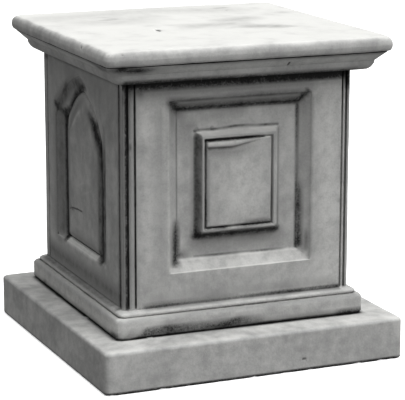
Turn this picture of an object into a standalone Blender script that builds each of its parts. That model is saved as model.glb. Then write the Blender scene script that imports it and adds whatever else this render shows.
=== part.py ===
# A square cast-stone garden pedestal: plinth slab, base moulding, panelled die and moulded cap, one casting.
# Metres, +Z up. The origin is the middle of the flat underside, and the front panel looks along -Y.
import math

import bmesh
import bpy
from mathutils import Matrix, Vector

PEDESTAL_NAME = "pedestal"

# Plinth slab, wider than the base moulding by a ledge all round. The block above it was cast a little
# askew: turned about the upright axis, and set back
SLAB_LEDGE = 0.0337
BLOCK_TURN_DEGREES = -0.8
BLOCK_SETBACK = 0.0078
SLAB_HEIGHT = 0.053
SLAB_EDGE_RADIUS = 0.004
SLAB_FOOT_CHAMFER = 0.002
SLAB_CORNER_RADIUS = 0.007

# Base moulding: a tall roll with a small bead above it, measured out from the die
ROLL_PROJECTION = 0.0158
ROLL_HEIGHT = 0.0255
ROLL_FOOT_CHAMFER = 0.003
ROLL_SHOULDER_RADIUS = 0.005
BEAD_PROJECTION = 0.0095
BEAD_HEIGHT = 0.0041
BEAD_ARC_DEGREES = 80
BASE_QUIRK_WIDTH = 0.0026
BASE_QUIRK_DEPTH = 0.0012
BASE_CORNER_RADIUS = 0.008

# Die, the block between the mouldings
DIE_WIDTH = 0.301
DIE_HEIGHT = 0.280
DIE_ARRIS_RADIUS = 0.0019

# Upright grooves beside each corner of the die. On the front and the back they run in from the corner as
# a bead, a deep quirk, a flat reed (narrower on the right) and a shallow quirk; on the sides there is one
# quirk behind a flat strip
CORNER_BEAD_WIDTH = 0.0038
DEEP_QUIRK_WIDTH = 0.0032
DEEP_QUIRK_DEPTH = 0.0036
LEFT_REED_WIDTH = 0.0064
RIGHT_REED_WIDTH = 0.0024
SHALLOW_QUIRK_WIDTH = 0.0026
SHALLOW_QUIRK_DEPTH = 0.0026
SIDE_STRIP_WIDTH = 0.0128
SIDE_QUIRK_WIDTH = 0.0034
SIDE_QUIRK_DEPTH = 0.0032
QUIRK_STOP = 0.0012

# Cap, from the die outwards and up: a soffit, an ovolo, a sloping underside, a quirk and a thick nosed slab
SOFFIT_WIDTH = 0.0115
OVOLO_WIDTH = 0.0105
OVOLO_HEIGHT = 0.0125
CAP_FILLET = 0.0007
CAP_SLOPE_WIDTH = 0.0108
CAP_SLOPE_HEIGHT = 0.0108
CAP_QUIRK_WIDTH = 0.0014
CAP_QUIRK_DEPTH = 0.0016
NOSE_OVERHANG = 0.0047
NOSE_TOP_WIDTH = 0.0080
NOSE_TOP_HEIGHT = 0.0104
NOSE_BOTTOM_WIDTH = 0.0030
NOSE_BOTTOM_HEIGHT = 0.0078
SOFFIT_CORNER_RADIUS = 0.004
CAP_CORNER_RADIUS = 0.010
CAP_SHIFT = 0.004

# Rectangular panel sunk in the front and the back
PANEL_SIDE_MARGIN = 0.0555
PANEL_FOOT_MARGIN = 0.0405
PANEL_HEAD_MARGIN = 0.0255
PANEL_SHIFT = 0.003
PANEL_OUTER_STEP = 0.0015
PANEL_CHAMFER_WIDTH = 0.0125
PANEL_CHAMFER_DEPTH = 0.0075
PANEL_INNER_STEP = 0.0030
PANEL_STEP_BATTER = 0.0025

# Raised tablet on the floor of that panel
TABLET_SIDE_MARGIN = 0.0245
TABLET_SHIFT = -0.0012
TABLET_HEAD_MARGIN = 0.026
TABLET_HEIGHT = 0.009
TABLET_SLOPE_WIDTH = 0.0062
TABLET_RIDGE_WIDTH = 0.0032
TABLET_GROOVE_WIDTH = 0.0034
TABLET_GROOVE_DEPTH = 0.0030
TABLET_FIELD_DROP = 0.0007
TABLET_CROWN_WIDTH = 0.014
TABLET_CROWN_HEIGHT = 0.0009

# Pointed-arch panel sunk in the two sides
ARCH_SIDE_MARGIN = 0.0555
ARCH_FOOT_MARGIN = 0.0395
ARCH_HEAD_MARGIN = 0.0150
ARCH_RISE = 0.065
ARCH_BULGE = 0.012
ARCH_SHIFT = 0.008
ARCH_OUTER_STEP = 0.0010
ARCH_SPLAY_WIDTH = 0.026
ARCH_SPLAY_DEPTH = 0.0040
ARCH_SPLAY_HEAD = 0.018
ARCH_SPLAY_SHOULDER = 0.007
ARCH_SILL_WIDTH = 0.0045
ARCH_GROOVE_WIDTH = 0.0035
ARCH_GROOVE_DEPTH = 0.0020
ARCH_INNER_WIDTH = 0.0165
ARCH_INNER_HEAD = 0.022
ARCH_INNER_SHOULDER = 0.013
ARCH_INNER_SILL = 0.006
ARCH_FIELD_LIFT = 0.0026

# Softness of the carved edges
CARVED_EDGE_RADIUS = 0.0020
SOFT_SEGMENTS = 2

CORNER_SEGMENTS = 4
EDGE_SEGMENTS = 4
ARCH_SEGMENTS = 12
CUTTER_REACH = 0.010

blockTurn = Matrix.Rotation(math.radians(BLOCK_TURN_DEGREES), 4, "Z")
blockPlace = Matrix.Translation((0, BLOCK_SETBACK, 0)) @ blockTurn
capPlace = blockPlace @ Matrix.Translation((CAP_SHIFT, 0, 0))
dieHalf = DIE_WIDTH / 2
rollHalf = dieHalf + ROLL_PROJECTION
slabHalf = rollHalf + SLAB_LEDGE
rollTop = SLAB_HEIGHT + ROLL_HEIGHT
dieFoot = rollTop + BASE_QUIRK_WIDTH + BEAD_HEIGHT
dieTop = dieFoot + DIE_HEIGHT


def clear_objects():
    for thing in list(bpy.data.objects):
        bpy.data.objects.remove(thing, do_unlink=True)


def make_collection(name):
    group = bpy.data.collections.new(name)
    bpy.context.scene.collection.children.link(group)
    return group


def stone_material():
    stone = bpy.data.materials.new("cast_stone")
    stone.use_nodes = True
    shader = stone.node_tree.nodes["Principled BSDF"]
    shader.inputs["Base Color"].default_value = (0.36, 0.355, 0.335, 1.0)
    shader.inputs["Roughness"].default_value = 0.9
    shader.inputs["Metallic"].default_value = 0.0
    return stone


def round_corner(centre, width, height, start, end, segments=EDGE_SEGMENTS):
    """Points of an elliptical arc in the plane of a moulding's section, angles in degrees."""
    points = []
    for step in range(segments + 1):
        angle = math.radians(start + (end - start) * step / segments)
        points.append((centre[0] + width * math.cos(angle), centre[1] + height * math.sin(angle)))
    return points


def soften(points, radius=CARVED_EDGE_RADIUS):
    """Rounds the corners of an open line of points; a short stretch gives up at most a third of itself."""
    softened = [points[0]]
    for before, corner, after in zip(points, points[1:], points[2:]):
        back = Vector(before) - Vector(corner)
        ahead = Vector(after) - Vector(corner)
        reach = min(radius, back.length / 3, ahead.length / 3)
        start = Vector(corner) + back.normalized() * reach
        end = Vector(corner) + ahead.normalized() * reach
        for step in range(SOFT_SEGMENTS + 1):
            share = step / SOFT_SEGMENTS
            along = start.lerp(Vector(corner), share).lerp(Vector(corner).lerp(end, share), share)
            softened.append(tuple(along))
    softened.append(points[-1])
    return softened


def slab_section():
    edge = SLAB_EDGE_RADIUS
    foot = SLAB_FOOT_CHAMFER
    points = [(slabHalf - foot, 0.0), (slabHalf, foot)]
    points += round_corner((slabHalf - edge, SLAB_HEIGHT - edge), edge, edge, 0, 90)
    return [(out, up, SLAB_CORNER_RADIUS, Matrix()) for out, up in points]


def base_section():
    bead = dieHalf + BEAD_PROJECTION
    shoulder = ROLL_SHOULDER_RADIUS
    points = [(rollHalf - ROLL_FOOT_CHAMFER, SLAB_HEIGHT), (rollHalf, SLAB_HEIGHT + ROLL_FOOT_CHAMFER)]
    points += round_corner((rollHalf - shoulder, rollTop - shoulder), shoulder, shoulder, 0, 90)
    points.append((bead - BASE_QUIRK_DEPTH, rollTop))
    beadCentre = (dieHalf, rollTop + BASE_QUIRK_WIDTH)
    points += round_corner(beadCentre, BEAD_PROJECTION, BEAD_HEIGHT, 0, BEAD_ARC_DEGREES)
    spread = [min(BASE_CORNER_RADIUS, DIE_ARRIS_RADIUS + out - dieHalf) for out, up in points]
    return [(out, up, radius, blockPlace) for (out, up), radius in zip(points, spread)]


def cap_section():
    """Sections of the cap, from the soffit up to the edge of the flat top."""
    soffit = dieHalf + SOFFIT_WIDTH
    ovolo = soffit + OVOLO_WIDTH
    ovoloTop = dieTop + OVOLO_HEIGHT
    slopeTop = ovoloTop + CAP_SLOPE_HEIGHT
    slopeEnd = ovolo + CAP_FILLET + CAP_SLOPE_WIDTH
    nose = slopeEnd + NOSE_OVERHANG
    noseFoot = slopeTop + CAP_QUIRK_WIDTH
    noseMiddle = noseFoot + NOSE_BOTTOM_HEIGHT
    points = round_corner((soffit, ovoloTop), OVOLO_WIDTH, OVOLO_HEIGHT, -90, 0)
    points.append((ovolo + CAP_FILLET, ovoloTop))
    points.append((slopeEnd, slopeTop))
    points.append((slopeEnd - CAP_QUIRK_DEPTH, slopeTop))
    points.append((slopeEnd - CAP_QUIRK_DEPTH, noseFoot))
    underNose = (nose - NOSE_BOTTOM_WIDTH, noseMiddle)
    overNose = (nose - NOSE_TOP_WIDTH, noseMiddle)
    points += round_corner(underNose, NOSE_BOTTOM_WIDTH, NOSE_BOTTOM_HEIGHT, -90, 0)
    points += round_corner(overNose, NOSE_TOP_WIDTH, NOSE_TOP_HEIGHT, 0, 90)[1:]
    spread = [min(CAP_CORNER_RADIUS, SOFFIT_CORNER_RADIUS + max(0.0, out - soffit)) for out, up in points]
    return [(out, up, radius, capPlace) for (out, up), radius in zip(points, spread)]


def square_outline(half, height, radius, place):
    """One level of the pedestal: a square with rounded corners, put in its place."""
    points = []
    for quarter in range(4):
        middle = math.radians(45 + 90 * quarter)
        centreX = math.copysign(half - radius, math.cos(middle))
        centreY = math.copysign(half - radius, math.sin(middle))
        for step in range(CORNER_SEGMENTS + 1):
            angle = math.radians(90 * quarter + 90 * step / CORNER_SEGMENTS)
            x = centreX + radius * math.cos(angle)
            y = centreY + radius * math.sin(angle)
            points.append(place @ Vector((x, y, height)))
    return points


def loft(mesh, outlines):
    """Skins matching outlines in turn and closes the first and the last with flat faces."""
    rings = [[mesh.verts.new(point) for point in outline] for outline in outlines]
    for lower, upper in zip(rings, rings[1:]):
        for i in range(len(lower)):
            mesh.faces.new((lower[i - 1], lower[i], upper[i], upper[i - 1]))
    mesh.faces.new(rings[0])
    mesh.faces.new(rings[-1])
    bmesh.ops.recalc_face_normals(mesh, faces=mesh.faces)


def finish_object(name, mesh, group, cutter=False):
    data = bpy.data.meshes.new(name)
    mesh.to_mesh(data)
    mesh.free()
    thing = bpy.data.objects.new(name, data)
    group.objects.link(thing)
    if cutter:
        thing.hide_render = True
        thing.display_type = "WIRE"
    return thing


def make_body(group):
    mesh = bmesh.new()
    levels = slab_section() + base_section()
    levels.append((dieHalf, dieFoot, DIE_ARRIS_RADIUS, blockPlace))
    levels.append((dieHalf, dieTop, DIE_ARRIS_RADIUS, blockPlace))
    levels += cap_section()
    loft(mesh, [square_outline(*level) for level in levels])
    return finish_object(PEDESTAL_NAME, mesh, group)


def make_quirk_cutter(group):
    """The upright grooves: two beside each edge of the front and the back, and one on the two sides."""
    mesh = bmesh.new()
    low = dieFoot + QUIRK_STOP
    high = dieTop - QUIRK_STOP
    reedStart = CORNER_BEAD_WIDTH + DEEP_QUIRK_WIDTH
    frontGrooves = (
        (-1, CORNER_BEAD_WIDTH, DEEP_QUIRK_WIDTH, DEEP_QUIRK_DEPTH),
        (1, CORNER_BEAD_WIDTH, DEEP_QUIRK_WIDTH, DEEP_QUIRK_DEPTH),
        (-1, reedStart + LEFT_REED_WIDTH, SHALLOW_QUIRK_WIDTH, SHALLOW_QUIRK_DEPTH),
        (1, reedStart + RIGHT_REED_WIDTH, SHALLOW_QUIRK_WIDTH, SHALLOW_QUIRK_DEPTH),
    )
    sideGrooves = (
        (-1, SIDE_STRIP_WIDTH, SIDE_QUIRK_WIDTH, SIDE_QUIRK_DEPTH),
        (1, SIDE_STRIP_WIDTH, SIDE_QUIRK_WIDTH, SIDE_QUIRK_DEPTH),
    )
    for quarter, grooves in enumerate((frontGrooves, sideGrooves, frontGrooves, sideGrooves)):
        turn = blockPlace @ Matrix.Rotation(math.radians(90 * quarter), 4, "Z")
        for side, start, width, depth in grooves:
            across = side * (dieHalf - start - width / 2)
            out = (depth - CUTTER_REACH) / 2 - dieHalf
            place = Matrix.Translation((across, out, (low + high) / 2))
            size = Matrix.Diagonal((width, depth + CUTTER_REACH, high - low, 1.0))
            bmesh.ops.create_cube(mesh, size=1.0, matrix=turn @ place @ size)
    return finish_object("quirkCutter", mesh, group, cutter=True)


def rectangle(centre, halfWidth, low, high):
    left = centre - halfWidth
    right = centre + halfWidth
    return [(left, low), (right, low), (right, high), (left, high)]


def pointed_arch(halfWidth, low, springing, apex, fullness):
    """Outline of a pointed arch on straight jambs: each side of the head is one shallow arc."""
    chord = math.hypot(halfWidth, apex - springing)
    bulge = chord * fullness
    radius = chord * chord / (8 * bulge) + bulge / 2
    reach = math.asin(chord / (2 * radius))
    lean = math.atan2(apex - springing, halfWidth)
    rightSide = []
    for step in range(ARCH_SEGMENTS + 1):
        angle = reach * (2 * step / ARCH_SEGMENTS - 1)
        along = chord / 2 + radius * math.sin(angle)
        proud = radius * math.cos(angle) - (radius - bulge)
        x = halfWidth - along * math.cos(lean) + proud * math.sin(lean)
        z = springing + along * math.sin(lean) + proud * math.cos(lean)
        rightSide.append((x, z))
    leftSide = [(-x, z) for x, z in reversed(rightSide[:-1])]
    return [(-halfWidth, low), (halfWidth, low)] + rightSide + leftSide


def make_relief_cutter(name, group, levels, shift, turn):
    """The hollow in front of a carved panel: outlines at growing depth behind the face of the die."""
    mesh = bmesh.new()
    spin = blockPlace @ Matrix.Rotation(math.radians(turn), 4, "Z")
    outlines = []
    for outline, depth in levels:
        outlines.append([spin @ Vector((x + shift, depth - dieHalf, z)) for x, z in outline])
    loft(mesh, outlines)
    return finish_object(name, mesh, group, cutter=True)


def panel_levels():
    """Outlines of the rectangular panel and of the tablet on its floor, each with its depth."""
    half = dieHalf - PANEL_SIDE_MARGIN
    low = dieFoot + PANEL_FOOT_MARGIN
    high = dieTop - PANEL_HEAD_MARGIN
    chamferDepth = PANEL_OUTER_STEP + PANEL_CHAMFER_DEPTH
    floorDepth = chamferDepth + PANEL_INNER_STEP
    ridgeDepth = floorDepth - TABLET_HEIGHT
    fieldDepth = ridgeDepth + TABLET_FIELD_DROP
    extraEnd = TABLET_HEAD_MARGIN - TABLET_SIDE_MARGIN
    steps = (
        (0, -CUTTER_REACH),
        (0, PANEL_OUTER_STEP),
        (PANEL_CHAMFER_WIDTH, chamferDepth),
        (PANEL_STEP_BATTER, floorDepth),
        (TABLET_SIDE_MARGIN, floorDepth),
        (TABLET_SLOPE_WIDTH, ridgeDepth),
        (TABLET_RIDGE_WIDTH, ridgeDepth),
        (TABLET_GROOVE_WIDTH / 3, ridgeDepth + TABLET_GROOVE_DEPTH),
        (TABLET_GROOVE_WIDTH / 3, ridgeDepth + TABLET_GROOVE_DEPTH),
        (TABLET_GROOVE_WIDTH / 3, fieldDepth),
        (TABLET_CROWN_WIDTH, fieldDepth - TABLET_CROWN_HEIGHT),
    )
    inset = 0
    profile = []
    for width, depth in steps:
        inset += width
        profile.append((inset, depth))
    tabletStart = PANEL_CHAMFER_WIDTH + PANEL_STEP_BATTER
    levels = []
    for inset, depth in soften(profile):
        share = min(max((inset - tabletStart) / TABLET_SIDE_MARGIN, 0), 1)
        ends = inset + share * extraEnd
        levels.append((rectangle(share * TABLET_SHIFT, half - inset, low + ends, high - ends), depth))
    return levels


def arch_levels():
    """Outlines of the pointed-arch panel, each with its depth: splay, groove, inner slope and flat field."""
    half = dieHalf - ARCH_SIDE_MARGIN
    low = dieFoot + ARCH_FOOT_MARGIN
    apex = dieTop - ARCH_HEAD_MARGIN
    springing = apex - ARCH_RISE
    fullness = ARCH_BULGE / math.hypot(half, ARCH_RISE)
    splayDepth = ARCH_OUTER_STEP + ARCH_SPLAY_DEPTH
    grooveDepth = splayDepth + ARCH_GROOVE_DEPTH
    fieldDepth = splayDepth - ARCH_FIELD_LIFT
    third = ARCH_GROOVE_WIDTH / 3
    steps = (
        (0, 0, 0, 0, -CUTTER_REACH),
        (0, 0, 0, 0, ARCH_OUTER_STEP),
        (ARCH_SPLAY_WIDTH, ARCH_SILL_WIDTH, ARCH_SPLAY_SHOULDER, ARCH_SPLAY_HEAD, splayDepth),
        (third, third, third, third, grooveDepth),
        (third, third, third, third, grooveDepth),
        (third, third, third, third, splayDepth),
        (ARCH_INNER_WIDTH, ARCH_INNER_SILL, ARCH_INNER_SHOULDER, ARCH_INNER_HEAD, fieldDepth),
    )
    levels = []
    for jamb, sill, shoulder, head, depth in steps:
        half -= jamb
        low += sill
        springing -= shoulder
        apex -= head
        levels.append((pointed_arch(half, low, springing, apex, fullness), depth))
    return levels


def carve(body, cutter):
    cut = body.modifiers.new(cutter.name, "BOOLEAN")
    cut.operation = "DIFFERENCE"
    cut.solver = "EXACT"
    cut.object = cutter


def main():
    clear_objects()
    pieces = make_collection("garden_pedestal")
    cutters = make_collection("cutters")
    body = make_body(pieces)
    body.data.materials.append(stone_material())
    carve(body, make_quirk_cutter(cutters))
    for name, turn in (("frontPanelCutter", 0), ("backPanelCutter", 180)):
        carve(body, make_relief_cutter(name, cutters, panel_levels(), PANEL_SHIFT, turn))
    for name, turn in (("leftArchCutter", 270), ("rightArchCutter", 90)):
        carve(body, make_relief_cutter(name, cutters, arch_levels(), -ARCH_SHIFT, turn))


main()
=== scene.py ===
# Square cast-stone garden pedestal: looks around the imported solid. Metres, +Z up.
import math

import bmesh
import bpy
import numpy
from mathutils import Matrix, Vector, noise
from mathutils.bvhtree import BVHTree


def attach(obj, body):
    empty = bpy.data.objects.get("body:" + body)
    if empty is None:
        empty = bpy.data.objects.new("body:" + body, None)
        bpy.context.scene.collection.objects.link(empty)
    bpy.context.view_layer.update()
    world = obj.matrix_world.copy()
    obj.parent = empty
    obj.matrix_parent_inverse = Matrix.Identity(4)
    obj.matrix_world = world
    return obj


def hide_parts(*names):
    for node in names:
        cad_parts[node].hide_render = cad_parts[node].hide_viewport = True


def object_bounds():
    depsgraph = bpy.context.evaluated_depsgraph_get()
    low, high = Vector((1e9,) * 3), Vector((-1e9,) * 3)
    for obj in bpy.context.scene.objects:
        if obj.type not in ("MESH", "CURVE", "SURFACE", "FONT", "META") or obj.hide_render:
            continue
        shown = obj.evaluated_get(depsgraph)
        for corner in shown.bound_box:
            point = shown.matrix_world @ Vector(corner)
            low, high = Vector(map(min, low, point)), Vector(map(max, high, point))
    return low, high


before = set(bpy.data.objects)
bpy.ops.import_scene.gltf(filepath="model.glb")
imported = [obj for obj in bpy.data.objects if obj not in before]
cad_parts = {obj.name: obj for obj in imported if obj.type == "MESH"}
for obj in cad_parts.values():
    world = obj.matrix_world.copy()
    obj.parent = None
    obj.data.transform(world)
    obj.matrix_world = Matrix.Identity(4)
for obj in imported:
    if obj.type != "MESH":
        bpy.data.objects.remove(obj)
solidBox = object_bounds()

mm = 0.001

# Sizes of the casting that the finish follows, as in the solid
casting = {
    "slabHeight": 53.0 * mm,
    "blockTurn": -0.8,          # degrees, the block sits a little askew on its slab
    "blockSetback": 7.8 * mm,
}

blockTurn = Matrix.Rotation(math.radians(casting["blockTurn"]), 4, "Z")
blockPlace = Matrix.Translation((0, casting["blockSetback"], 0)) @ blockTurn
blockInverse = blockPlace.inverted()


def srgb(code):
    # sRGB hex to the linear values that the shader wants
    values = [int(code[i:i + 2], 16) / 255 for i in (1, 3, 5)]
    return tuple(v / 12.92 if v <= 0.04045 else ((v + 0.055) / 1.055) ** 2.4 for v in values) + (1.0,)


def addNode(tree, kind, settings=None, inputs=None):
    # one node with its settings, its values and its links
    node = tree.nodes.new(kind)
    for name, value in (settings or {}).items():
        setattr(node, name, value)
    for name, value in (inputs or {}).items():
        if isinstance(value, bpy.types.NodeSocket):
            tree.links.new(value, node.inputs[name])
        else:
            node.inputs[name].default_value = value
    return node


# The stone: the solid's own form with a finer skin. Swell, ripple, wear and foot chip are each a height, the
# size of their lumps, and where in the noise they start
stoneSkin = {
    "gridPitch": 5.15 * mm,     # spacing of the skin's vertices on the flats
    "swell": (0.45 * mm, 85 * mm, (0, 0, 0)),       # slow unevenness of the cast faces
    "ripple": (0.16 * mm, 17 * mm, (7, 3, 1)),      # small unevenness
    "wear": (0.55 * mm, 9 * mm, (5, 1, 8)),         # how far the arrises are rubbed and chipped
    "footChip": (2.6 * mm, 11 * mm, (2, 9, 4)),     # ragged lower edge of the slab
    "footReach": 0.5 * mm,      # below this height only the foot's chips move the skin
    "arrisAngle": 0.45,         # radians, an edge sharper than this is an arris
    "nearReach": 7.5 * mm,      # how far the black stain and painted shade look for stone around themselves
    "deepReach": 24 * mm,       # and the soft grey wash and painted shade
    "rays": 30,
    "rayStart": 0.15 * mm,      # they start this far off the stone
    "farLoss": 0.7,             # stone at the end of a ray's reach counts for this much less
    "fineMark": 4.0,            # mm, marks narrower than this get a finer skin
    "fineMargin": 1.0,          # mm, and this much round them
    "fineRounds": 3,
    # there an edge is at most this share of the mark's half width, but it may be this long in mm
    "fineEdges": {"stainAndShade": (0.8, 1.8), "paleAndHighlit": (0.8, 1.8), "sunk": (0.45, 0.7)},
    "shadedBelow": 90 * mm,            # below this height the faces that point up are drawn darker: painted shade on the low ledges
    "shadedBelowSky": 0.62,            # they get this share of the up-facing paleness
    "merge": 0.01 * mm,         # vertices of the solid closer than this are one
    "flatAngle": 0.004,         # radians, faces this close to one plane are joined before the grid is cut
    "underside": -0.9,          # faces that point down more than this get no grid
    "sharpAngle": 38,           # degrees
}

# The sides that marks lie on, in the block's frame: outward, the way u runs, the way v runs, and from where
# to where the side reaches outward, in mm. An edge side is the cap and the slab, which stand past the die
sides = {
    "front": ((0, -1, 0), (1, 0, 0), (0, 0, 1), 125, 173),
    "back": ((0, 1, 0), (-1, 0, 0), (0, 0, 1), 125, 173),
    "left": ((-1, 0, 0), (0, 1, 0), (0, 0, 1), 125, 173),
    "right": ((1, 0, 0), (0, -1, 0), (0, 0, 1), 125, 173),
    "frontEdge": ((0, -1, 0), (1, 0, 0), (0, 0, 1), 160, 230),
    "backEdge": ((0, 1, 0), (-1, 0, 0), (0, 0, 1), 160, 230),
    "leftEdge": ((-1, 0, 0), (0, 1, 0), (0, 0, 1), 160, 230),
    "rightEdge": ((1, 0, 0), (0, -1, 0), (0, 0, 1), 160, 230),
    "top": ((0, 0, 1), (1, 0, 0), (0, 1, 0), 400, 420),
    "ledge": ((0, 0, 1), (1, 0, 0), (0, 1, 0), 48, 56),
}

# What a mark may lie on: stone that faces its side, and groove walls, which turn a little away from it
markReach = {
    "facing": 0.04,             # least share of the normal that points outward
    "wall": -0.3,               # the same for a groove's wall
    "wallHalf": 149,            # mm, walls count this far to each side of the middle
    "wallOut": 160,             # mm, and this far outward, or anywhere above the next height
    "wallAbove": 60,
}
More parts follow.
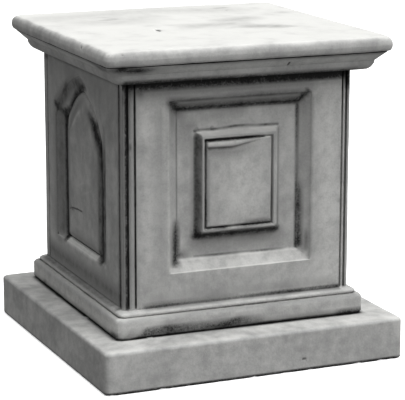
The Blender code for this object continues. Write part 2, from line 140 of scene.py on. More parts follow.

# Marks of age, of the mould and of the hand that rubbed the stain in, and painted shade, shadow and light.
# Each is a side, a line of points, half its width in mm, its strength, and how much of the half width is a
# soft edge. A point is (u, v) in mm, and a third value says what share of the strength is left there
marks = {
    # black left where the rag did not reach, and painted shade: in the grooves, under the cap and under its
    # nose
    "stainAndShade": [
        ("front", [(-152, 363), (-60, 362), (15, 361.5), (80, 361), (148, 361)], 9.5, 1.1, 0.8),
        ("back", [(-150, 362), (0, 362), (148, 361)], 8.0, 0.9, 0.9),
        ("left", [(-140, 364), (140, 363)], 4.0, 0.5, 1.0),
        ("right", [(-140, 364), (140, 363)], 4.0, 0.5, 1.0),
        ("front", [(-158, 366, 0.4), (-150, 364)], 5.0, 0.8, 1.0),
        ("front", [(-143, 362), (-142, 346, 0.2)], 8.0, 0.8, 1.0),
        ("front", [(-132, 360), (-128, 347, 0.2)], 7.0, 0.6, 1.0),
        ("front", [(-152, 349), (-149, 340, 0.3)], 4.5, 0.5, 1.0),
        ("front", [(146, 362), (147, 350), (147, 336, 0.1)], 6.5, 0.9, 1.0),
        ("left", [(134, 360), (143, 357)], 7.0, 0.5, 1.0),
        # upright grooves at the corners
        ("front", [(-146.4, 360), (-146.6, 200), (-146.8, 88)], 3.3, 0.95, 0.8),
        ("front", [(-135.8, 360, 0.8), (-135.8, 200), (-135.6, 88, 0.8)], 2.6, 0.55, 1.0),
        ("front", [(-142.4, 293, 0.2), (-141.8, 287), (-142.2, 281, 0.2)], 3.0, 0.5, 1.0),
        ("left", [(-136.0, 362, 0.8), (-136.2, 240, 0.8), (-137, 180), (-137.5, 88, 1.4)], 6.0, 0.50, 1.0),
        ("front", [(146, 336, 0.8), (146, 300, 0.3), (146, 88, 0.4)], 2.8, 0.48, 1.0),
        ("back", [(-146, 360), (-146, 88)], 2.8, 0.8, 1.0),
        ("back", [(146, 360), (146, 88)], 2.8, 0.6, 1.0),
        ("right", [(-136, 362), (-136, 88)], 4.5, 0.6, 1.0),
        ("right", [(136, 362), (136, 88)], 4.5, 0.6, 1.0),
        # head of the front panel and of its back twin
        ("front", [(-90, 340.5, 0.6), (-70, 340), (-20, 340, 0.6), (30, 340), (86, 340, 0.7)],
         4.0, 0.45, 1.0),
        ("front", [(-78, 328), (-40, 328, 0.75), (0, 328), (40, 328, 0.8), (82, 328)], 5.6, 0.92, 1.0),
        ("front", [(-88, 337, 0.8), (-80, 329), (-78, 320, 0.3)], 8.0, 0.85, 1.0),
        ("front", [(92, 340), (83, 329), (80, 327)], 6.0, 0.8, 1.0),
        ("front", [(-86, 334), (-85, 300, 0.1)], 7.0, 0.30, 1.0),
        ("back", [(-92, 340), (0, 340), (92, 340)], 4.0, 0.4, 1.0),
        ("back", [(-80, 328.5), (82, 328)], 5.0, 0.75, 1.0),
        # its upright inner edges
        ("front", [(82.6, 328), (82.6, 290, 0.7), (82.6, 250, 0.3), (83, 210, 0.9), (83, 142)],
         3.0, 0.70, 1.0),
        ("front", [(85, 236, 0), (85.5, 215, 0.7), (85, 196), (85.5, 176, 0.7), (85.5, 146, 1.3)],
         6.0, 0.62, 1.0),
        ("front", [(94, 168, 0), (94, 155), (94, 139, 0.4)], 3.0, 0.35, 1.0),
        ("front", [(-78.5, 326), (-78.5, 220, 0.7), (-78.5, 150)], 2.6, 0.38, 1.0),
        ("front", [(-80, 196, 0), (-80, 178, 0.7), (-80.5, 160), (-81, 138, 0.8)], 8.0, 1.0, 1.0),
        ("front", [(-78, 146), (-64, 143, 0.3)], 5.0, 0.6, 1.0),
        ("front", [(-54, 142, 0.4), (-20, 141.5), (10, 141.5, 0.4), (40, 141), (66, 141, 0.3)],
         2.2, 0.5, 1.0),
        ("back", [(84, 326), (84, 240, 0.5), (84, 142)], 4.0, 0.7, 1.0),
        ("back", [(-78.5, 326), (-79, 240, 0.5), (-79, 142)], 4.0, 0.65, 1.0),
        # round the tablet
        ("front", [(-53, 168), (-10, 168.5, 0.9), (56, 168.5, 0.85)], 6.5, 1.0, 0.9),
        ("front", [(-42, 177.5, 0.8), (-20, 177.5), (-6, 177.6, 0.3), (10, 178), (45, 178.5)],
         3.4, 0.85, 1.0),
        ("front", [(10, 179.5, 0.6), (30, 180), (44, 181, 0.6)], 4.0, 0.6, 1.0),
        ("front", [(-42.4, 287, 0.6), (-42.4, 240, 0.75), (-42.4, 190), (-42.4, 179)], 3.2, 0.75, 1.0),
        ("front", [(46.2, 286, 0.5), (46.2, 250, 0.6), (46.2, 210), (46.2, 179, 0.8)], 2.9, 0.42, 1.0),
        ("front", [(-54.0, 290, 0.5), (-53.6, 250, 0.6), (-53.6, 190, 0.7), (-52.6, 168, 1.6)],
         4.6, 0.50, 1.0),
        ("front", [(57.5, 294, 0.7), (57.5, 240, 0.6), (57.5, 170)], 2.8, 0.35, 1.0),
        ("front", [(-54, 299), (-44, 300, 0.5), (-30, 299.5), (-20, 300, 0.4), (-2, 301.5),
         (14, 301.5, 0.6)],
         2.4, 0.62, 1.0),
        ("front", [(14, 301.5, 0.6), (30, 300.5, 0.4), (40, 300.5), (57, 300, 0.6)], 2.4, 0.62, 1.0),
        ("front", [(-42, 287.4), (0, 287.6), (24, 287.9, 0.8), (36, 288, 0.2)], 3.0, 1.0, 0.9),
        # painted shadow under the torn lip of the tablet
        ("front", [(-38, 277.5), (-8, 277, 0.8), (14, 281, 0.3)], 3.6, 0.40, 1.0),
        # foot of the die, then the roll's foot and the dark that climbs from it, partly dirt and partly
        # painted shade; painted shade on the ledge round the roll, and a painted contact shadow along the
        # slab's foot
        ("front", [(-124, 87, 0.6), (-110, 87), (-60, 87, 0.7), (0, 87, 0.6), (60, 87.5), (138, 87.5)],
         3.6, 0.75, 1.0),
        ("front", [(-112, 96), (0, 94), (120, 96)], 10.0, 0.10, 1.0),
        ("front", [(-142, 54, 0), (-130, 54, 0.6), (-112, 54), (10, 54), (165, 54.5)], 5.5, 0.74, 1.0),
        ("front", [(118, 56, 0), (134, 56), (163, 56)], 5.5, 0.85, 1.0),
        ("front", [(-137, 56, 0.5), (-126, 60), (-96, 61), (-62, 59, 0.6), (-26, 58, 0.9), (-6, 61),
         (14, 59, 0.6), (40, 57, 0)],
         8.5, 0.88, 1.0),
        ("front", [(-158, 58, 0.4), (-148, 60), (-134, 58, 0.2)], 6.0, 0.42, 1.0),
        ("left", [(-160, 57), (-150, 57), (-136, 55, 0)], 7.0, 0.75, 1.0),
        ("left", [(104, 56, 0), (112, 57), (122, 56, 0)], 6.0, 0.6, 1.0),
        ("left", [(-148, 54), (160, 54)], 4.6, 0.65, 1.0),
        ("back", [(-158, 54), (160, 54)], 3.8, 0.65, 1.0),
        ("back", [(-60, 59, 0), (20, 58), (70, 60, 0)], 7.0, 0.5, 1.0),
        ("right", [(-160, 54), (160, 54)], 3.8, 0.65, 1.0),
        ("ledge", [(-140, -163, 0), (-100, -163, 0.8), (20, -163, 0.8), (163, -163)], 6.5, 0.42, 1.0),
        ("ledge", [(-162, 163), (-163, 40, 0.7), (-162, -163)], 7.5, 0.34, 1.0),
        ("ledge", [(-162, 163), (163, 163), (163, -163)], 7.0, 0.28, 1.0),
        ("frontEdge", [(-203, 0), (203, 0)], 4.2, 1.5, 1.0),
        ("leftEdge", [(-203, 0.4), (203, 0.4)], 4.0, 0.6, 1.0),
        ("backEdge", [(-203, 0.4), (203, 0.4)], 2.8, 0.6, 1.0),
        ("rightEdge", [(-203, 0.4), (203, 0.4)], 2.8, 0.6, 1.0),
        # stain and painted shade under the nose of the cap
        ("frontEdge", [(-174, 386, 0.3), (-166, 387), (-158, 386, 0.8), (-146, 384.5),
         (-134, 384, 0.6), (-112, 385, 0)],
         6.0, 1.0, 1.0),
        ("frontEdge", [(-180, 383, 0.4), (-150, 383), (-126, 383, 0.8), (-96, 383, 0.1)], 6.5, 0.20, 1.0),
        ("frontEdge", [(-96, 388, 0.4), (-40, 388), (20, 388, 0.5), (90, 388), (176, 388, 0.7)],
         2.8, 0.36, 1.0),
        ("leftEdge", [(-170, 388), (-60, 388, 0.5), (60, 388, 0.4)], 4.0, 0.40, 1.0),
        ("leftEdge", [(-166, 385, 0.4), (-152, 385), (-138, 384, 0.7), (-110, 384, 0)], 5.0, 0.68, 1.0),
        # arch on the left: groove, mitre and the far crevice that climbs to the apex
        ("left", [(-64, 128), (-64.5, 215, 0.8), (-61, 255, 0.6), (-57, 272)], 8.5, 0.95, 1.0),
        ("left", [(-57, 272, 0.8), (-46, 281), (-38, 289), (-31, 298, 0.9), (-18, 305, 0.3)],
         6.5, 0.95, 1.0),
        ("left", [(-18, 305, 0.3), (-3, 311, 0.1)], 7.0, 0.95, 1.0),
        ("left", [(74, 292), (58, 301, 0.7), (45, 313), (33, 323, 0.8), (17, 331), (4, 336),
         (-6, 338, 0.5)],
         6.5, 0.85, 1.0),
        ("left", [(73, 292), (71.5, 262, 0.9), (71.5, 200), (70, 130, 1.1)], 9.5, 1.05, 0.9),
        ("left", [(105, 301), (90, 295, 0.7), (75, 291)], 5.2, 0.75, 1.0),
        ("left", [(11, 174.5, 0.7), (28, 174), (47, 172, 0.8), (58, 169, 0.5)], 1.8, 0.65, 1.0),
        ("left", [(-120, 84.5, 0.5), (-60, 84.5), (145, 84.5)], 2.6, 0.35, 1.0),
        ("right", [(-75, 130, 0.8), (-75, 276), (-58, 300, 0.7), (-20, 332, 0.4)], 6.5, 0.55, 1.0),
        ("right", [(60, 130), (60, 200, 0.6), (60, 276, 0.8), (44, 294, 0.5), (16, 318, 0.2)],
         6.5, 0.55, 1.0),
    ],
    # thin grey left by the rag, and painted shade: under the cap, on the panel's head and on its border that
    # faces left, round the tablet and under its torn lip, in the arch's recess, along the roll's groove
    "washAndShade": [
        ("left", [(90, 286), (90, 140)], 30, 0.62, 0.8),
        ("left", [(96, 300), (80, 312), (56, 329), (30, 338), (8, 341, 0.8)], 15, 0.75, 0.7),
        ("left", [(60, 314), (36, 332), (10, 343)], 12, 0.40, 1.0),
        ("left", [(-73, 280, 0.3), (-74, 262), (-74, 132)], 13, 0.85, 0.3),
        ("left", [(-40, 291), (-56, 264), (-56, 132)], 11, 0.80, 0.5),
        ("left", [(-16, 304, 0.4), (-32, 290), (-46, 270)], 9, 0.60, 0.8),
        ("left", [(63, 140), (62, 262), (46, 290), (26, 309), (8, 319, 0.6)], 9, 0.42, 0.7),
        ("left", [(-45, 138), (45, 138)], 12, 0.30, 1.0),
        ("left", [(-140, 345), (120, 350)], 34, 0.20, 1.0),
        ("left", [(-144, 340), (-144, 100)], 8, 0.15, 1.0),
        ("left", [(-118, 300), (-108, 295), (-101, 286)], 9, 0.12, 1.0),
        ("left", [(-130, 98), (130, 98)], 20, 0.66, 1.0),
        ("front", [(-44, 294), (50, 294)], 5, 0.30, 1.0),
        ("front", [(-150, 353), (0, 352), (90, 350)], 14, 0.34, 1.0),
        ("front", [(-130, 345), (-60, 350), (-20, 350)], 18, 0.10, 1.0),
        ("frontEdge", [(-170, 397), (174, 397)], 9, 0.13, 1.0),
        ("front", [(-88, 334), (86, 334)], 10, 0.40, 0.8),
        ("front", [(90, 330), (91, 290, 0.6), (91, 240, 0.15), (91, 180, 0.3), (91, 142, 0.3)],
         10, 0.36, 1.0),
        ("front", [(-86, 330), (-86, 300, 0.5)], 11, 0.40, 1.0),
        ("front", [(-86, 330), (-86, 140)], 9, 0.16, 1.0),
        ("front", [(-72, 324), (-68, 296, 0.7), (-66, 250, 0)], 12, 0.34, 1.0),
        ("front", [(-50.5, 292), (-50.5, 170)], 5.5, 0.78, 0.6),
        ("front", [(-54, 160), (0, 161, 0.8), (30, 160), (58, 160, 0.8)], 13, 0.62, 1.0),
        ("front", [(-72, 150), (-58, 150), (60, 149)], 9, 0.30, 1.0),
        # painted shadow under the tablet's torn lip
        ("front", [(-38, 273), (0, 271), (20, 276, 0.5)], 10, 0.45, 1.0),
        ("front", [(-65, 304), (-55, 306)], 9, 0.35, 1.0),
        ("front", [(-30, 318), (10, 322)], 12, 0.28, 1.0),
        ("front", [(-103, 320), (-103, 90)], 13, 0.18, 1.0),
        ("front", [(-141, 350), (-141, 90)], 6, 0.30, 0.8),
        ("front", [(-151, 340), (-151, 95)], 7, 0.42, 1.0),
        ("front", [(-150, 78.5, 0.3), (-60, 78.5, 0.8), (60, 78.5), (155, 78.5)], 4.5, 0.50, 1.0),
        ("left", [(-155, 78.5, 0.6), (155, 78.5)], 4.5, 0.50, 1.0),
        ("front", [(-100, 62), (-60, 62), (20, 62), (100, 62)], 12, 0.20, 1.0),
        ("front", [(-60, 110), (-20, 104), (40, 112)], 18, 0.14, 1.0),
        ("front", [(-116, 130), (-118, 96)], 18, 0.16, 1.0),
        ("back", [(-140, 352), (140, 352)], 15, 0.28, 1.0),
        ("back", [(-88, 334), (86, 334)], 10, 0.35, 0.7),
        ("back", [(-50, 160), (54, 160)], 12, 0.5, 1.0),
        ("back", [(-30, 120), (60, 108)], 20, 0.16, 1.0),
        ("right", [(-90, 286), (-90, 140)], 20, 0.35, 1.0),
        ("right", [(60, 300), (30, 325), (0, 338)], 18, 0.4, 1.0),
        ("top", [(-115, 72), (-60, 62), (-36, 92)], 46, 0.20, 1.0),
        ("top", [(-92, 83), (-72, 86)], 9, 0.50, 1.0),
        ("top", [(-4, -12), (52, -8)], 30, 0.30, 1.0),
        ("top", [(58, 22), (92, 36)], 30, 0.32, 1.0),
        ("top", [(62, -38), (94, -52)], 24, 0.48, 1.0),
        ("top", [(98, -46), (112, -58)], 11, 0.40, 1.0),
        ("top", [(92, 142), (106, 146)], 12, 0.40, 1.0),
        ("top", [(-150, 120), (0, 150), (100, 120)], 50, 0.20, 1.0),
    ],
    # crevices that the rag wiped bare: there the crevice stain and painted shade are taken off
    "clean": [
        ("left", [(34, 323), (14, 329), (2, 329), (-16, 320), (-38, 304), (-54, 286)], 6, 1.0, 0.5),
        ("left", [(-136, 362, 0.8), (-136, 200, 0.6), (-136, 88, 0.3)], 7, 1.0, 0.6),
        ("left", [(-160, 82), (160, 82)], 4, 0.8, 0.5),
        ("front", [(-152, 85), (-127, 85)], 7, 1.0, 0.6),
        ("front", [(-120, 85), (40, 85), (80, 85, 0.3)], 4, 0.6, 0.6),
        ("front", [(40, 288), (45, 288)], 5, 1.0, 0.6),
        ("front", [(-165, 54), (-148, 54), (-136, 54, 0)], 6, 0.9, 0.7),
        ("front", [(-160, 79), (160, 79)], 6, 0.95, 0.5),
        ("left", [(-160, 79), (160, 79)], 6, 0.9, 0.5),
        ("front", [(142, 335, 0.5), (142, 290), (142, 88)], 8, 0.9, 0.5),
        ("front", [(84, 300), (84, 235)], 7, 0.8, 0.5),
        ("front", [(93, 322, 0.4), (93, 300), (93, 142)], 10, 0.9, 0.4),
        ("front", [(46.2, 288, 0.8), (46.2, 179, 0.8)], 4, 0.9, 0.5),
        ("front", [(-42.4, 288), (-42.4, 179)], 4, 0.5, 0.5),
        ("front", [(-10, 177.6), (6, 177.6)], 4, 0.7, 0.8),
    ],
    # bare lips, scratches and rubbed places, and painted light: highlights on arrises, ridges and lips, and
    # lighter patches where faces turn to the light, as on the panel's borders, the roll on the left and the
    # cap's ovolo and nose
    "paleAndHighlit": [
        ("left", [(-28, 209, 0.4), (-6, 202), (11, 197, 0.5)], 2.4, 0.40, 1.0),
        ("left", [(-14, 217, 0.4), (8, 212), (27, 205, 0.5)], 2.2, 0.45, 1.0),
        ("left", [(-84, 126.5), (62, 126.5)], 4.4, 0.8, 0.9),
        ("left", [(105, 302), (80, 320), (55, 335), (25, 346), (0, 350), (-20, 345, 0.5)], 3.6, 0.38, 1.0),
        ("left", [(59, 262, 0.3), (50, 276), (36, 290), (22, 301), (14, 304, 0.7)], 3.9, 0.75, 0.9),
        ("left", [(-96, 290, 0.5), (-96, 200), (-96, 140)], 8.0, 0.22, 1.0),
        ("left", [(-158, 80), (158, 80)], 5.0, 0.90, 0.9),
        ("left", [(-158, 68), (-105, 66, 0.8), (158, 66, 0.6)], 9.0, 1.0, 0.9),
        ("front", [(-36, 283.5), (-8, 283), (20, 286.5, 0.4)], 3.4, 0.6, 1.0),
        ("front", [(-150, 81), (155, 81)], 4.5, 0.30, 1.0),
        ("frontEdge", [(-120, 382), (172, 382)], 8.0, 0.42, 1.0),
        ("leftEdge", [(-120, 382), (170, 382)], 8.0, 0.40, 1.0),
        ("leftEdge", [(-168, 397), (-90, 397), (-30, 397, 0.2)], 11.0, 0.50, 1.0),
        ("front", [(-45.8, 288), (-45.8, 176)], 2.0, 0.2, 1.0),
        ("front", [(-92.5, 325), (-92.5, 128)], 2.6, 0.5, 1.0),
        ("front", [(-98, 330), (-97, 300), (-97, 240, 0.4)], 5.0, 0.45, 1.0),
        ("front", [(-75, 322, 0.5), (-74, 290), (-74, 200)], 4.0, 0.25, 1.0),
        ("front", [(-90, 132), (94, 132)], 8.0, 0.40, 0.9),
        ("front", [(6, 250), (8, 205)], 34, 0.60, 1.0),
        ("front", [(122, 330), (122, 110)], 24, 0.55, 1.0),
        ("front", [(-120, 328), (-122, 300)], 16, 0.60, 1.0),
        ("front", [(-119, 230), (-119, 130)], 8, 0.20, 1.0),
    ],
    # holes and nicks; the strength is a depth in mm
    "sunk": [
        ("frontEdge", [(54.4, 381), (54.0, 379)], 2.2, 1.6, 1.0),
        ("frontEdge", [(63.5, 15.3), (66.5, 15.6)], 2.6, 1.1, 1.0),
        ("top", [(-58.8, -34), (-58.0, -24)], 3.0, 2.6, 1.0),
        ("frontEdge", [(-164, 405), (-163, 405)], 1.4, 0.8, 1.0),
        ("leftEdge", [(-98, 402), (-96, 402.5)], 2.0, 0.9, 1.0),
        ("left", [(11, 174.5), (28, 174), (47, 172), (58, 169)], 1.2, 0.7, 1.0),
        ("back", [(-40, 230), (-38, 231)], 1.8, 1.3, 1.0),
        ("right", [(88, 300), (90, 298)], 1.8, 1.1, 1.0),
        ("top", [(96, 118), (98, 118)], 1.6, 1.1, 1.0),
    ],
}

# The torn lip under the groove at the head of the front tablet. Its crest is a line of (u, v). All are in mm
tabletLip = {
    "crest": [(-41, 279.5), (-7, 278.5), (12, 282.0), (34, 286.0)],
    "from": -41.0,
    "to": 34.0,
    "startRun": 2.0,            # it rises over this length, and ends over the next
    "endRun": 6.0,
    "top": 287.4,               # foot of the groove above it
    "grooveGap": 1.6,           # the skin this close to the groove stays as it is
    "foot": 262.0,              # and below this height
    "height": 1.6,
    "fullRun": 8.0,             # it stands lower where top and crest are closer than this
    "leastRun": 0.5,
    "drop": 1.8,                # height of the torn edge
    "hollow": 0.6,
    "hollowRun": 11.0,
    "skin": 1.3,                # spacing of the finer skin there
    "skinMargin": 2.0,          # how far it runs past the ends, and between which heights
    "skinHeights": (266, 289),
}


def cutGrid(mesh, faces, place, low, high, pitch):
    # cuts the faces along planes at an even pitch, square to the axes of place
    sliver = 1e-6               # a cut this close to a vertex goes through it
    turn = place.to_3x3()
    inverse = place.inverted()
    for axis in range(3):
        normal = turn.col[axis].copy()
        count = int((high[axis] - low[axis]) / pitch)

        def span(face):
            along = [(inverse @ v.co)[axis] for v in face.verts]
            return min(along), max(along), face

        pending = [span(f) for f in faces]
        faces = []
        for step in range(1, count + 1):
            level = low[axis] + step * (high[axis] - low[axis]) / (count + 1)
            point = Vector((0, 0, 0))
            point[axis] = level
            crossing = [f for lowest, highest, f in pending if lowest < level < highest]
            faces += [f for lowest, highest, f in pending if highest <= level]
            pending = [entry for entry in pending if entry[0] >= level]
            if not crossing:
                continue
            edges = list({e for f in crossing for e in f.edges})
            points = list({v for f in crossing for v in f.verts})
            cut = bmesh.ops.bisect_plane(
                mesh, geom=crossing + edges + points, dist=sliver, plane_co=place @ point, plane_no=normal)
            halves = [span(f) for f in cut["geom"] if isinstance(f, bmesh.types.BMFace)]
            faces += [f for lowest, highest, f in halves if highest <= level + 2 * sliver]
            pending += [entry for entry in halves if entry[1] > level + 2 * sliver]
        faces += [entry[2] for entry in pending]
    return faces


def lineDistance(u, v, points):
    # distance of each (u, v) from a line of points, and the share of the strength that is left there
    nearest = numpy.full(len(u), numpy.inf)
    left = numpy.ones(len(u))
    for first, second in zip(points, points[1:]):
        u0, v0, share0 = (*first, 1.0)[:3]
        u1, v1, share1 = (*second, 1.0)[:3]
        du, dv = u1 - u0, v1 - v0
        along = numpy.clip(((u - u0) * du + (v - v0) * dv) / (du * du + dv * dv), 0, 1)
        distance = numpy.hypot(u - u0 - along * du, v - v0 - along * dv)
        left = numpy.where(distance < nearest, share0 + along * (share1 - share0), left)
        nearest = numpy.minimum(nearest, distance)
    return nearest, left


def onSide(side, places, facing):
    # the u and v of each place on a side, and whether it belongs there
    out, along, up, lowest, highest = sides[side]
    reach = places @ numpy.array(out)
    u, v = places @ numpy.array(along), places @ numpy.array(up)
    turned = facing @ numpy.array(out)
    wall = (turned > markReach["wall"]) & (numpy.abs(u) < markReach["wallHalf"])
    wall &= (reach < markReach["wallOut"]) | (v > markReach["wallAbove"])
    return u, v, ((turned > markReach["facing"]) | wall) & (reach > lowest) & (reach < highest)


def markField(kind, places, facing):
    # how strongly the marks of one kind lie on each place
    total = numpy.zeros(len(places))
    for side, points, reach, strength, soft in marks[kind]:
        u, v, belongs = onSide(side, places, facing)
        distance, left = lineDistance(u, v, points)
        share = numpy.clip((1 - distance / reach) / soft, 0, 1)
        total = numpy.maximum(total, strength * left * share * belongs)
    return total


def blockArrays(points, normals):
    # world positions and normals to the block's frame, in mm
    turn = numpy.array(blockInverse.to_3x3())
    shift = numpy.array(blockInverse.translation)
    return (numpy.array(points) @ turn.T + shift) / mm, numpy.array(normals) @ turn.T


def refine(mesh):
    # halves the long edges under narrow marks and on the torn lip until the skin is fine enough there
    for step in range(stoneSkin["fineRounds"]):
        edges = list(mesh.edges)
        middles = [(e.verts[0].co + e.verts[1].co) / 2 for e in edges]
        normals = [e.verts[0].normal + e.verts[1].normal for e in edges]
        places, facing = blockArrays(middles, normals)
        lengths = numpy.array([e.calc_length() for e in edges]) / mm
        wanted = numpy.full(len(edges), numpy.inf)
        for kind, (share, least) in stoneSkin["fineEdges"].items():
            for side, points, reach, strength, soft in marks[kind]:
                if reach < stoneSkin["fineMark"]:
                    u, v, belongs = onSide(side, places, facing)
                    close = (lineDistance(u, v, points)[0] < reach + stoneSkin["fineMargin"]) & belongs
                    wanted[close] = numpy.minimum(wanted[close], max(reach * share, least))
        u, v, lip = onSide("front", places, facing)
        margin = tabletLip["skinMargin"]
        lowest, highest = tabletLip["skinHeights"]
        lip &= (u > tabletLip["from"] - margin) & (u < tabletLip["to"] + margin)
        lip &= (v > lowest) & (v < highest)
        wanted[lip] = numpy.minimum(wanted[lip], tabletLip["skin"])
        chosen = [edges[i] for i in numpy.nonzero(lengths > wanted)[0]]
        if not chosen:
            break
        bmesh.ops.subdivide_edges(mesh, edges=chosen, cuts=1)
        bmesh.ops.triangulate(mesh, faces=[f for f in mesh.faces if len(f.verts) > 4])
        mesh.normal_update()


def rayFan(count):
    # directions spread evenly over the half space about +Z, thickest near the middle
    goldenAngle = math.pi * (3 - math.sqrt(5))
    fan = []
    for i in range(count):
        height = math.sqrt(1 - (i + 0.5) / count)
        flat = math.sqrt(1 - height * height)
        fan.append(Vector((flat * math.cos(i * goldenAngle), flat * math.sin(i * goldenAngle), height)))
    return fan


def closeness(mesh):
    # for each vertex, how much the stone itself shuts in the view, close by and further out: 0 open, 1 shut
    near, deep, loss = stoneSkin["nearReach"], stoneSkin["deepReach"], stoneSkin["farLoss"]
    tree = BVHTree.FromBMesh(mesh)
    fan = rayFan(stoneSkin["rays"])
    closeBy, around = [], []
    for vertex in mesh.verts:
        turn = Vector((0, 0, 1)).rotation_difference(vertex.normal)
        start = vertex.co + vertex.normal * stoneSkin["rayStart"]
        first, second = 0.0, 0.0
        for ray in fan:
            distance = tree.ray_cast(start, turn @ ray, deep)[3]
            if distance is not None:
                second += 1 - loss * distance / deep
                if distance < near:
                    first += 1 - loss * distance / near
        closeBy.append(first / len(fan))
        around.append(second / len(fan))
    return closeBy, around


def lipHeight(u, v, belongs):
    # how far the torn lip stands out from the tablet's field, in mm
    crest = numpy.interp(u, *zip(*tabletLip["crest"]))
    run = tabletLip["top"] - crest
    ends = numpy.clip((u - tabletLip["from"]) / tabletLip["startRun"], 0, 1)
    ends *= numpy.clip((tabletLip["to"] - u) / tabletLip["endRun"], 0, 1)
    ramp = numpy.clip((tabletLip["top"] - v) / numpy.maximum(run, tabletLip["leastRun"]), 0, 1)
    ramp *= numpy.clip(run / tabletLip["fullRun"], 0, 1)
    fall = numpy.clip(1 - (crest - v) / tabletLip["drop"], 0, 1)
    hollow = numpy.clip(1 - (crest - v) / tabletLip["hollowRun"], 0, 1)
    hollow *= (v < crest) * numpy.clip((crest - v) / tabletLip["drop"], 0, 1)
    lip = numpy.where(v >= crest, ramp, ramp * fall) * tabletLip["height"] - hollow * tabletLip["hollow"]
    return lip * ends * belongs * (v < tabletLip["top"] - tabletLip["grooveGap"]) * (v > tabletLip["foot"])


def skinNoise(place, kind):
    height, size, start = stoneSkin[kind]
    return noise.noise(place / size + Vector(start)) * height


def weather(mesh, places, facing):
    # the slow swells and small ripples of a cast and hand-rubbed face, worn arrises, chips and holes
    sunk = markField("sunk", places, facing) * mm
    lip = lipHeight(*onSide("front", places, facing)) * mm
    arrises = set()
    for edge in mesh.edges:
        if edge.is_manifold and edge.calc_face_angle_signed() > stoneSkin["arrisAngle"]:
            arrises.update(edge.verts)
    for i, vertex in enumerate(mesh.verts):
        place = vertex.co.copy()
        if place.z < stoneSkin["footReach"]:
            if vertex in arrises:
                vertex.co.z += max(0.0, skinNoise(place, "footChip"))
            continue
        worn = max(0.0, skinNoise(place, "wear")) if vertex in arrises else 0.0
        uneven = skinNoise(place, "swell") + skinNoise(place, "ripple")
        vertex.co = place + vertex.normal * (uneven + lip[i] - worn - sunk[i])


def addAttribute(data, name, values):
    layer = data.attributes.new(name, "FLOAT", "POINT")
    layer.data.foreach_set("value", numpy.asarray(values, dtype=numpy.float32))


def makeStone():
    mesh = bmesh.new()
    mesh.from_mesh(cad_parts["pedestal"].data)
    bmesh.ops.remove_doubles(mesh, verts=mesh.verts, dist=stoneSkin["merge"])
    bmesh.ops.dissolve_limit(mesh, angle_limit=stoneSkin["flatAngle"], verts=mesh.verts, edges=mesh.edges)
    split = casting["slabHeight"] + stoneSkin["merge"]
    slabFaces, blockFaces = [], []
    for face in mesh.faces:
        if max(v.co.z for v in face.verts) >= split:
            blockFaces.append(face)
        elif face.normal.z > stoneSkin["underside"]:
            slabFaces.append(face)
    low, high = solidBox
    cutGrid(mesh, slabFaces, Matrix(), low, (high.x, high.y, split), stoneSkin["gridPitch"])
    cutGrid(mesh, blockFaces, blockPlace, (low.x, low.y, split), high, stoneSkin["gridPitch"])
    bmesh.ops.triangulate(mesh, faces=[f for f in mesh.faces if len(f.verts) > 4])
    mesh.normal_update()
    refine(mesh)
    print("stone skin", len(mesh.verts), "vertices")
    closeBy, around = closeness(mesh)
    print("crevices measured")
    places, facing = blockArrays([v.co for v in mesh.verts], [v.normal for v in mesh.verts])
    weather(mesh, places, facing)
    data = bpy.data.meshes.new("pedestalStone")
    mesh.to_mesh(data)
    mesh.free()
    isShadedBelow = places[:, 2] < stoneSkin["shadedBelow"] / mm
    addAttribute(data, "closeBy", closeBy)
    addAttribute(data, "around", around)
    # faces that point up are drawn paler, partly bleached and partly painted top light, and less so low
    # down, which is painted shade
    addAttribute(data, "skyward", facing[:, 2] * numpy.where(isShadedBelow, stoneSkin["shadedBelowSky"], 1))
    for kind in marks:
        addAttribute(data, kind, markField(kind, places, facing))
    data.shade_smooth()
    data.set_sharp_from_angle(angle=math.radians(stoneSkin["sharpAngle"]))
    piece = bpy.data.objects.new("pedestalStone", data)
    bpy.context.scene.collection.objects.link(piece)
    print("stone weathered", sum(len(p.vertices) - 2 for p in data.polygons), "triangles")
    return piece


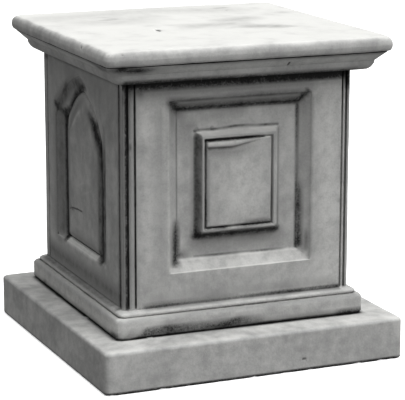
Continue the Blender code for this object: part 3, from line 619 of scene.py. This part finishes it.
# Cast stone: cement and sand rubbed smooth, then antiqued. A dry matt grey, clouded by damp, paler where it
# faces up: partly bleached and partly painted top light, with black stain and painted shade in the crevices.
# A pattern is its size, detail and roughness. A range is where a value starts and ends to count, and what it
# counts for there, 0 and 1 if that isn't given
castStone = {
    "light": "#BEBEBC",
    "mid": "#999998",
    # pale of up-facing faces and of the pale marks: partly bleaching and rubbed wear, partly painted top
    # light and highlights
    "bleachedAndLit": "#D5D5D2",
    # grey of the wash and of painted shade
    "washAndShade": "#3E3E3D",
    # black of the stain, and of painted shade and contact shadow
    "stainAndShade": "#0E0E0E",
    "cloud": (45 * mm, 5.0, 0.6),
    "blotch": (11 * mm, 3.0, 0.6),
    "streak": (7 * mm, 2.0, 0.6),       # width of the faint runs of water down the faces
    "streakLength": 90 * mm,
    "grain": (2.4 * mm, 2.0, 0.7),      # the sand is under 1 mm; drawn coarser, or it would not show
    "pitting": (5 * mm, 3.0, 0.65),
    # ground
    "blotchShare": 0.55,
    "streakShare": 0.12,
    "sandy": (0.05, 0.50, 0.35, 1.60),  # grain shows most where stone stands around
    "tone": (0.50, 1.18),
    "skyCloud": 0.9,                    # how uneven the paleness of up-facing faces is
    "sky": (0.42, 1.10),
    "bare": (0.6, 1.3, 0.45, 1.0),      # how uneven the rubbed places and painted highlights are
    # wash and painted shade
    "washAndShadeBlotch": 0.8,
    "washAndShadeUneven": (0.60, 1.15, 0.50, 1.20),
    "pooledAndShaded": (0.20, 0.85),
    "pooledAndShadedShare": 0.70,
    "corner": (0.10, 0.50),
    "cornerShare": 0.45,
    "mostWashAndShade": 0.9,
    # stain and painted shade
    "specks": 0.8,                      # blotches among the specks of grain
    "speckle": 1.9,                     # how uneven the stain is
    "creviceSpeckle": 0.25,
    "crevice": (0.26, 0.72, 0.0, 0.80),
    "fading": 2.0,
    "holes": (0.1, 1.1, 0.0, 0.75),
    "mostStainAndShade": 0.97,
    # surface
    "roughness": 0.88,
    "specular": 0.25,
    "grainRelief": 0.6,
    "bump": 0.5,
    "bumpDepth": 0.5 * mm,
}


def castStoneMaterial():
    made = bpy.data.materials.new("castStone")
    made.use_nodes = True
    tree = made.node_tree
    shader = tree.nodes["Principled BSDF"]
    where = addNode(tree, "ShaderNodeTexCoord").outputs["Object"]

    def read(name):
        return addNode(tree, "ShaderNodeAttribute", {"attribute_name": name}).outputs["Fac"]

    def pattern(name, vector=where):
        size, detail, roughness = castStone[name]
        return addNode(tree, "ShaderNodeTexNoise", None, {
            "Vector": vector, "Scale": 1 / size, "Detail": detail, "Roughness": roughness}).outputs["Fac"]

    def combine(operation, a, b, c=0.0):
        return addNode(tree, "ShaderNodeMath", {"operation": operation}, {0: a, 1: b, 2: c}).outputs[0]

    def ease(value, name):
        start, end, low, high = (*castStone[name], 0.0, 1.0)[:4]
        return addNode(tree, "ShaderNodeMapRange", {"interpolation_type": "SMOOTHSTEP"}, {
            "Value": value, "From Min": start, "From Max": end,
            "To Min": low, "To Max": high}).outputs["Result"]

    def blend(share, a, b):
        return addNode(tree, "ShaderNodeMix", {"data_type": "RGBA"}, {
            "Factor": share, "A": a, "B": b}).outputs["Result"]

    cloud = pattern("cloud")
    blotch = pattern("blotch")
    grain = pattern("grain")
    streakWidth = castStone["streak"][0]
    stretched = addNode(tree, "ShaderNodeMapping", None, {
        "Vector": where, "Scale": (1.0, 1.0, streakWidth / castStone["streakLength"])}).outputs["Vector"]
    streak = pattern("streak", stretched)

    # ground: clouds, then blotches, streaks and grain as small shifts of the same mix
    tone = combine("MULTIPLY_ADD", blotch, castStone["blotchShare"], cloud)
    tone = combine("MULTIPLY_ADD", streak, castStone["streakShare"], tone)
    sandy = ease(read("around"), "sandy")
    tone = combine("MULTIPLY_ADD", combine("SUBTRACT", grain, 0.5), sandy, tone)
    ground = blend(ease(tone, "tone"), srgb(castStone["mid"]), srgb(castStone["light"]))
    # paler where the stone faces up, partly bleached and partly painted top light; then the pale marks,
    # partly rubbed bare and partly painted highlights
    sky = combine("MULTIPLY_ADD", combine("SUBTRACT", cloud, 0.5), castStone["skyCloud"], read("skyward"))
    ground = blend(ease(sky, "sky"), ground, srgb(castStone["bleachedAndLit"]))
    rubbedAndHighlit = combine("MULTIPLY", read("paleAndHighlit"), ease(combine("ADD", blotch, grain), "bare"))
    ground = blend(rubbedAndHighlit, ground, srgb(castStone["bleachedAndLit"]))

    # wash and painted shade: a soft grey where stone stands around and in corners, partly stain and partly
    # painted shade, and where the wash marks lie
    kept = combine("SUBTRACT", 1.0, read("clean"))
    uneven = ease(combine("MULTIPLY_ADD", blotch, castStone["washAndShadeBlotch"], cloud), "washAndShadeUneven")
    pooledAndShaded = combine("MULTIPLY", ease(read("around"), "pooledAndShaded"), combine("MULTIPLY_ADD", kept, 0.5, 0.5))
    corner = combine("MULTIPLY", ease(read("closeBy"), "corner"), kept)
    shade = combine("MULTIPLY_ADD", pooledAndShaded, castStone["pooledAndShadedShare"], read("washAndShade"))
    shade = combine("MULTIPLY", shade, uneven)
    shade = combine("MULTIPLY_ADD", corner, castStone["cornerShare"], shade)
    shaded = blend(combine("MINIMUM", shade, castStone["mostWashAndShade"]), ground, srgb(castStone["washAndShade"]))

    # stain and painted shade: black, ragged and soft at its edge, deepest in the grooves. The power makes
    # its fading look even
    speck = combine("SUBTRACT", grain, 0.5)
    speck = combine("MULTIPLY_ADD", combine("SUBTRACT", blotch, 0.5), castStone["specks"], speck)
    crevice = ease(combine("MULTIPLY_ADD", speck, castStone["creviceSpeckle"], read("closeBy")), "crevice")
    crevice = combine("MULTIPLY", crevice, kept)
    ragged = combine("MAXIMUM", combine("MULTIPLY_ADD", speck, castStone["speckle"], 1.0), 0.0)
    stainAndShadeMask = combine("MAXIMUM", combine("MULTIPLY", read("stainAndShade"), ragged), crevice)
    clear = combine("SUBTRACT", 1.0, combine("MINIMUM", stainAndShadeMask, 1.0))
    dark = combine("SUBTRACT", 1.0, combine("POWER", clear, castStone["fading"]))
    dark = combine("MAXIMUM", dark, ease(read("sunk"), "holes"))
    dark = combine("MULTIPLY", dark, castStone["mostStainAndShade"])
    tree.links.new(blend(dark, shaded, srgb(castStone["stainAndShade"])), shader.inputs["Base Color"])

    relief = combine("MULTIPLY_ADD", grain, castStone["grainRelief"], pattern("pitting"))
    bump = addNode(tree, "ShaderNodeBump", None, {
        "Strength": castStone["bump"], "Distance": castStone["bumpDepth"], "Height": relief})
    tree.links.new(bump.outputs["Normal"], shader.inputs["Normal"])
    shader.inputs["Roughness"].default_value = castStone["roughness"]
    shader.inputs["Specular IOR Level"].default_value = castStone["specular"]
    return made


# Setting: a pale floor, soft lamps and the camera
setting = {
    "floor": "#F4F4F4",
    "floorSize": 30.0,
    "floorRoughness": 0.95,
    "floorGlow": 0.55,
    "air": 0.26,                # strength of the light from all round
    "topLamp": 3.6,             # watts a square metre
    "topSpread": 64,            # degrees
    "topFrom": (35, 73),        # azimuth and elevation it comes from, degrees
    "sideLamp": 0.60,
    "sideSpread": 50,
    "sideFrom": (28, 24),
    "cameraPlace": (-0.98476, -2.30348, 0.7496),
    "cameraAzimuth": -23.38,
    "cameraElevation": 12.79,
    "cameraRoll": 0.07,
    "lens": 176.13,
    "sensor": 36.0,
    "cameraFar": 100,
}


def towards(azimuth, elevation):
    a, e = math.radians(azimuth), math.radians(elevation)
    return Vector((math.sin(a) * math.cos(e), -math.cos(a) * math.cos(e), math.sin(e)))


def addLamp(name, strength, spread, direction):
    lamp = bpy.data.lights.new(name, "SUN")
    lamp.energy = strength
    lamp.angle = math.radians(spread)
    thing = bpy.data.objects.new(name, lamp)
    thing.rotation_mode = "QUATERNION"
    thing.rotation_quaternion = towards(*direction).to_track_quat("Z", "Y")
    bpy.context.scene.collection.objects.link(thing)


def makeSetting():
    scene = bpy.context.scene
    scene.view_settings.view_transform = "Standard"
    mesh = bmesh.new()
    bmesh.ops.create_grid(mesh, x_segments=2, y_segments=2, size=setting["floorSize"] / 2)
    data = bpy.data.meshes.new("floor")
    mesh.to_mesh(data)
    mesh.free()
    floor = bpy.data.objects.new("floor", data)
    scene.collection.objects.link(floor)
    floor.visible_diffuse = False       # it is seen, but throws no light up at the stone
    floor.visible_glossy = False
    paint = bpy.data.materials.new("floorPaper")
    paint.use_nodes = True
    shader = paint.node_tree.nodes["Principled BSDF"]
    shader.inputs["Base Color"].default_value = srgb(setting["floor"])
    shader.inputs["Roughness"].default_value = setting["floorRoughness"]
    shader.inputs["Emission Color"].default_value = (1, 1, 1, 1)
    shader.inputs["Emission Strength"].default_value = setting["floorGlow"]
    data.materials.append(paint)

    world = bpy.data.worlds.new("air")
    world.use_nodes = True
    background = world.node_tree.nodes["Background"]
    background.inputs["Color"].default_value = (1, 1, 1, 1)
    background.inputs["Strength"].default_value = setting["air"]
    scene.world = world
    addLamp("topLamp", setting["topLamp"], setting["topSpread"], setting["topFrom"])
    addLamp("sideLamp", setting["sideLamp"], setting["sideSpread"], setting["sideFrom"])

    back = towards(setting["cameraAzimuth"], setting["cameraElevation"])
    camera = bpy.data.cameras.new("camera")
    camera.sensor_width = setting["sensor"]
    camera.lens = setting["lens"]
    camera.clip_end = setting["cameraFar"]
    thing = bpy.data.objects.new("camera", camera)
    turn = (-back).to_track_quat("-Z", "Y").to_matrix().to_4x4()
    roll = Matrix.Rotation(math.radians(setting["cameraRoll"]), 4, "Z")
    thing.matrix_world = Matrix.Translation(setting["cameraPlace"]) @ turn @ roll
    scene.collection.objects.link(thing)
    scene.camera = thing


stone = makeStone()
stone.data.materials.append(castStoneMaterial())
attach(stone, "root")
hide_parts("pedestal")
print("stone finished")

makeSetting()
print("setting made")
